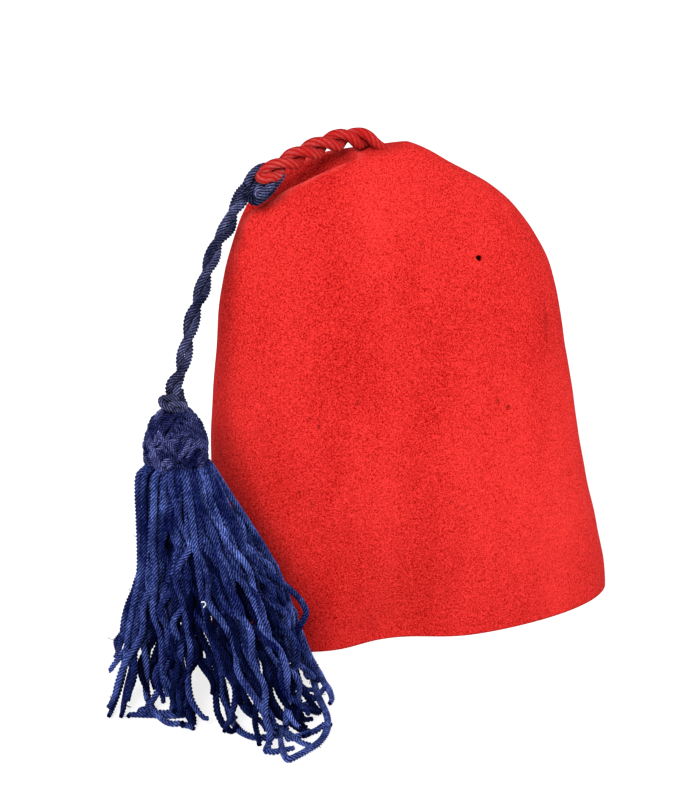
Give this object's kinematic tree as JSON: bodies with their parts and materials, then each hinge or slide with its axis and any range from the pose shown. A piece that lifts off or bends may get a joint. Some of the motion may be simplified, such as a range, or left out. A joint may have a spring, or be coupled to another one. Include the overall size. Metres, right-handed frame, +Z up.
{
  "type": "fez hat with a tassel",
  "caption": "Tall soft felt cap with a flattened crown, a twisted cord loop on top and a long yarn tassel that hangs beside it.",
  "frame": {"origin": "middle of the felt body's outline box, on the surface that the rim stands on", "axes": "+Z up from the rim to the crown, +X along the rim's long axis away from the tassel, -Y towards the front that carries the moth hole"},
  "size_m": [0.3274, 0.2197, 0.2789],
  "materials": {
    "red_felt": "matte wool felt",
    "red_cord": "matte twisted cord",
    "blue_yarn": "matte two-ply yarn",
    "blue_net": "matte crocheted yarn"
  },
  "bodies": {
    "root": {"hat_body": "red_felt", "top_loop": "red_cord", "hitch": "blue_yarn", "hanging_cord": "blue_yarn", "neck_knot": "blue_yarn", "tassel_head": "blue_net", "tassel_skirt": "blue_yarn"}
  },
  "joints": []
}
